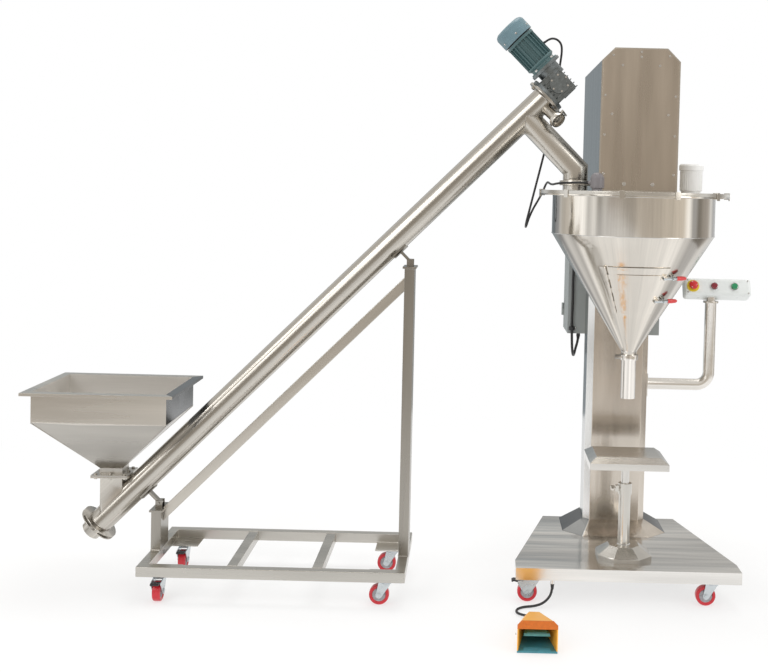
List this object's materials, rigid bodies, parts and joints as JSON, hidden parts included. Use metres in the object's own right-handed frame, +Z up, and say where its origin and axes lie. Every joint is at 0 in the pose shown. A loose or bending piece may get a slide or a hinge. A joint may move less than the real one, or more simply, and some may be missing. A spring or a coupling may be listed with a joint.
{
  "type": "auger powder filler",
  "caption": "Semi-automatic auger powder filler on a castered column base, with an inclined screw feeder on its own trolley, filling table, button box and foot pedal.",
  "frame": {"origin": "on the floor, under the middle of the whole machine's bounding box", "axes": "+X from the feeder to the filler, to the operator's right; +Y away from the operator; +Z up"},
  "size_m": [3.002, 1.448, 2.3602],
  "materials": {
    "stainless": "brushed",
    "polished_stainless": "polished",
    "zinc": "zinc plated",
    "wheel_red": "satin",
    "brake_black": "matte",
    "cast_aluminium": "cast",
    "motor_blue": "satin",
    "box_white": "satin",
    "estop_red": "gloss",
    "stop_red": "gloss",
    "start_green": "gloss",
    "cabinet_grey": "satin",
    "pedal_orange": "gloss",
    "treadle_teal": "satin",
    "sensor_grey": "satin",
    "filter_white": "satin",
    "cable_black": "matte"
  },
  "bodies": {
    "machine_frame": {"base_pan": "stainless", "cabinet_body": "cabinet_grey", "cabinet_lead": "cable_black", "caster_plates": "zinc", "column": "stainless", "control_arm": "stainless", "discharge_chute": "stainless", "feed_hopper": "stainless", "feeder_gearbox": "cast_aluminium", "feeder_lead": "cable_black", "feeder_motor": "motor_blue", "feeder_tube": "stainless", "head_front_panel": "stainless", "head_housing": "stainless", "hopper_cone": "polished_stainless", "hopper_lid": "polished_stainless", "level_sensor": "sensor_grey", "nozzle_tube": "stainless", "pedal_base": "treadle_teal", "pedal_housing": "pedal_orange", "pedal_lead": "cable_black", "powder_hopper": "polished_stainless", "table_stand": "stainless", "trolley_base": "stainless", "trolley_uprights": "stainless", "tube_brackets": "stainless", "vent_filter": "filter_white"},
    "filler_front_left_fork": {"filler_front_left_fork": "zinc"},
    "filler_front_left_wheel": {"filler_front_left_wheel": "wheel_red"},
    "filler_front_left_brake": {"filler_front_left_brake": "brake_black"},
    "filler_front_right_fork": {"filler_front_right_fork": "zinc"},
    "filler_front_right_wheel": {"filler_front_right_wheel": "wheel_red"},
    "filler_rear_left_fork": {"filler_rear_left_fork": "zinc"},
    "filler_rear_left_wheel": {"filler_rear_left_wheel": "wheel_red"},
    "filler_rear_right_fork": {"filler_rear_right_fork": "zinc"},
    "filler_rear_right_wheel": {"filler_rear_right_wheel": "wheel_red"},
    "trolley_front_left_fork": {"trolley_front_left_fork": "zinc"},
    "trolley_front_left_wheel": {"trolley_front_left_wheel": "wheel_red"},
    "trolley_front_left_brake": {"trolley_front_left_brake": "brake_black"},
    "trolley_rear_left_fork": {"trolley_rear_left_fork": "zinc"},
    "trolley_rear_left_wheel": {"trolley_rear_left_wheel": "wheel_red"},
    "trolley_rear_left_brake": {"trolley_rear_left_brake": "brake_black"},
    "trolley_front_right_fork": {"trolley_front_right_fork": "zinc"},
    "trolley_front_right_wheel": {"trolley_front_right_wheel": "wheel_red"},
    "trolley_rear_right_fork": {"trolley_rear_right_fork": "zinc"},
    "trolley_rear_right_wheel": {"trolley_rear_right_wheel": "wheel_red"},
    "feeder_screw": {"feeder_screw": "stainless"},
    "auger": {"auger": "stainless"},
    "agitator": {"agitator": "stainless"},
    "hopper_door": {"hopper_door": "polished_stainless"},
    "product_table": {"product_table": "stainless"},
    "stand_clamp_knob": {"stand_clamp_knob": "stainless"},
    "button_box": {"button_box": "box_white"},
    "estop_button": {"estop_button": "estop_red"},
    "stop_button": {"stop_button": "stop_red"},
    "start_button": {"start_button": "start_green"},
    "cabinet_door": {"cabinet_door": "cabinet_grey"},
    "pedal_treadle": {"pedal_treadle": "treadle_teal"},
    "upper_door_latch": {"upper_door_latch": "zinc"},
    "lower_door_latch": {"lower_door_latch": "zinc"}
  },
  "joints": [
    {"name": "filler_front_left_swivel", "type": "hinge", "parent": "machine_frame", "child": "filler_front_left_fork", "pos_m": [0.53501, -0.1935, 0.0965], "axis": [0, 0, 1], "continuous": true},
    {"name": "filler_front_left_roll", "type": "hinge", "parent": "filler_front_left_fork", "child": "filler_front_left_wheel", "pos_m": [0.50901, -0.1935, 0.04], "axis": [0, 1, 0], "continuous": true},
    {"name": "filler_front_left_brake_press", "type": "hinge", "parent": "filler_front_left_fork", "child": "filler_front_left_brake", "pos_m": [0.47601, -0.1935, 0.08], "axis": [0, 1, 0], "range_deg": [-18, 0]},
    {"name": "filler_front_right_swivel", "type": "hinge", "parent": "machine_frame", "child": "filler_front_right_fork", "pos_m": [1.25501, -0.1935, 0.0965], "axis": [0, 0, 1], "continuous": true},
    {"name": "filler_front_right_roll", "type": "hinge", "parent": "filler_front_right_fork", "child": "filler_front_right_wheel", "pos_m": [1.22901, -0.1935, 0.04], "axis": [0, 1, 0], "continuous": true},
    {"name": "filler_rear_left_swivel", "type": "hinge", "parent": "machine_frame", "child": "filler_rear_left_fork", "pos_m": [0.67501, 0.4065, 0.0965], "axis": [0, 0, 1], "continuous": true},
    {"name": "filler_rear_left_roll", "type": "hinge", "parent": "filler_rear_left_fork", "child": "filler_rear_left_wheel", "pos_m": [0.64901, 0.4065, 0.04], "axis": [0, 1, 0], "continuous": true},
    {"name": "filler_rear_right_swivel", "type": "hinge", "parent": "machine_frame", "child": "filler_rear_right_fork", "pos_m": [1.11501, 0.4065, 0.0965], "axis": [0, 0, 1], "continuous": true},
    {"name": "filler_rear_right_roll", "type": "hinge", "parent": "filler_rear_right_fork", "child": "filler_rear_right_wheel", "pos_m": [1.08901, 0.4065, 0.04], "axis": [0, 1, 0], "continuous": true},
    {"name": "trolley_front_left_swivel", "type": "hinge", "parent": "machine_frame", "child": "trolley_front_left_fork", "pos_m": [-0.95301, -0.2695, 0.0965], "axis": [0, 0, 1], "continuous": true},
    {"name": "trolley_front_left_roll", "type": "hinge", "parent": "trolley_front_left_fork", "child": "trolley_front_left_wheel", "pos_m": [-0.95301, -0.2955, 0.04], "axis": [-1, 0, 0], "continuous": true},
    {"name": "trolley_front_left_brake_press", "type": "hinge", "parent": "trolley_front_left_fork", "child": "trolley_front_left_brake", "pos_m": [-0.95301, -0.3285, 0.08], "axis": [-1, 0, 0], "range_deg": [-18, 0]},
    {"name": "trolley_rear_left_swivel", "type": "hinge", "parent": "machine_frame", "child": "trolley_rear_left_fork", "pos_m": [-0.95301, 0.1225, 0.0965], "axis": [0, 0, 1], "continuous": true},
    {"name": "trolley_rear_left_roll", "type": "hinge", "parent": "trolley_rear_left_fork", "child": "trolley_rear_left_wheel", "pos_m": [-0.95301, 0.0965, 0.04], "axis": [-1, 0, 0], "continuous": true},
    {"name": "trolley_rear_left_brake_press", "type": "hinge", "parent": "trolley_rear_left_fork", "child": "trolley_rear_left_brake", "pos_m": [-0.95301, 0.0635, 0.08], "axis": [-1, 0, 0], "range_deg": [-18, 0]},
    {"name": "trolley_front_right_swivel", "type": "hinge", "parent": "machine_frame", "child": "trolley_front_right_fork", "pos_m": [-0.05601, -0.2695, 0.0965], "axis": [0, 0, 1], "continuous": true},
    {"name": "trolley_front_right_roll", "type": "hinge", "parent": "trolley_front_right_fork", "child": "trolley_front_right_wheel", "pos_m": [-0.08201, -0.2695, 0.04], "axis": [0, 1, 0], "continuous": true},
    {"name": "trolley_rear_right_swivel", "type": "hinge", "parent": "machine_frame", "child": "trolley_rear_right_fork", "pos_m": [-0.05601, 0.1225, 0.0965], "axis": [0, 0, 1], "continuous": true},
    {"name": "trolley_rear_right_roll", "type": "hinge", "parent": "trolley_rear_right_fork", "child": "trolley_rear_right_wheel", "pos_m": [-0.08201, 0.1225, 0.04], "axis": [0, 1, 0], "continuous": true},
    {"name": "feeder_screw_turn", "type": "hinge", "parent": "machine_frame", "child": "feeder_screw", "pos_m": [-1.26281, -0.0735, 0.23745], "axis": [0.7071, 0, 0.7071], "continuous": true},
    {"name": "auger_turn", "type": "hinge", "parent": "machine_frame", "child": "auger", "pos_m": [0.90901, -0.0735, 1.66], "axis": [0, 0, 1], "continuous": true},
    {"name": "agitator_turn", "type": "hinge", "parent": "machine_frame", "child": "agitator", "pos_m": [0.90901, -0.0735, 1.66], "axis": [0, 0, 1], "continuous": true},
    {"name": "hopper_door_hinge", "type": "hinge", "parent": "machine_frame", "child": "hopper_door", "pos_m": [0.83466, -0.19483, 1.173], "axis": [-0.2756, -0.4497, 0.8496], "range_deg": [-115, 0]},
    {"name": "upper_latch_lift", "type": "hinge", "parent": "hopper_door", "child": "upper_door_latch", "pos_m": [1.01247, -0.29538, 1.32314], "axis": [-0.2229, 0.478, -0.8496], "range_deg": [0, 100]},
    {"name": "lower_latch_lift", "type": "hinge", "parent": "hopper_door", "child": "lower_door_latch", "pos_m": [0.98755, -0.24193, 1.22814], "axis": [-0.2229, 0.478, -0.8496], "range_deg": [0, 100]},
    {"name": "table_height", "type": "slide", "parent": "machine_frame", "child": "product_table", "axis": [0, 0, 1], "range_m": [-0.06, 0.12]},
    {"name": "stand_clamp_turn", "type": "hinge", "parent": "machine_frame", "child": "stand_clamp_knob", "pos_m": [0.90901, -0.0735, 0.4355], "axis": [1, 0, 0], "range_deg": [-180, 180]},
    {"name": "button_box_swivel", "type": "hinge", "parent": "machine_frame", "child": "button_box", "pos_m": [1.32901, 0.3565, 1.172], "axis": [0, 0, 1], "range_deg": [-60, 60]},
    {"name": "estop_press", "type": "slide", "parent": "button_box", "child": "estop_button", "axis": [0, -0.9063, 0.4226], "range_m": [-0.004, 0], "stiffness_N_per_m": 900, "springref_m": 0.001},
    {"name": "stop_press", "type": "slide", "parent": "button_box", "child": "stop_button", "axis": [0, -0.9063, 0.4226], "range_m": [-0.004, 0], "stiffness_N_per_m": 900, "springref_m": 0.001},
    {"name": "start_press", "type": "slide", "parent": "button_box", "child": "start_button", "axis": [0, -0.9063, 0.4226], "range_m": [-0.004, 0], "stiffness_N_per_m": 900, "springref_m": 0.001},
    {"name": "cabinet_door_hinge", "type": "hinge", "parent": "machine_frame", "child": "cabinet_door", "pos_m": [0.69251, 0.6985, 1.005], "axis": [0, 0, 1], "range_deg": [0, 115]},
    {"name": "treadle_press", "type": "hinge", "parent": "machine_frame", "child": "pedal_treadle", "pos_m": [0.52301, -0.5125, 0.022], "axis": [1, 0, 0], "range_deg": [0, 8], "stiffness_Nm_per_rad": 8, "springref_deg": -14.32}
  ]
}
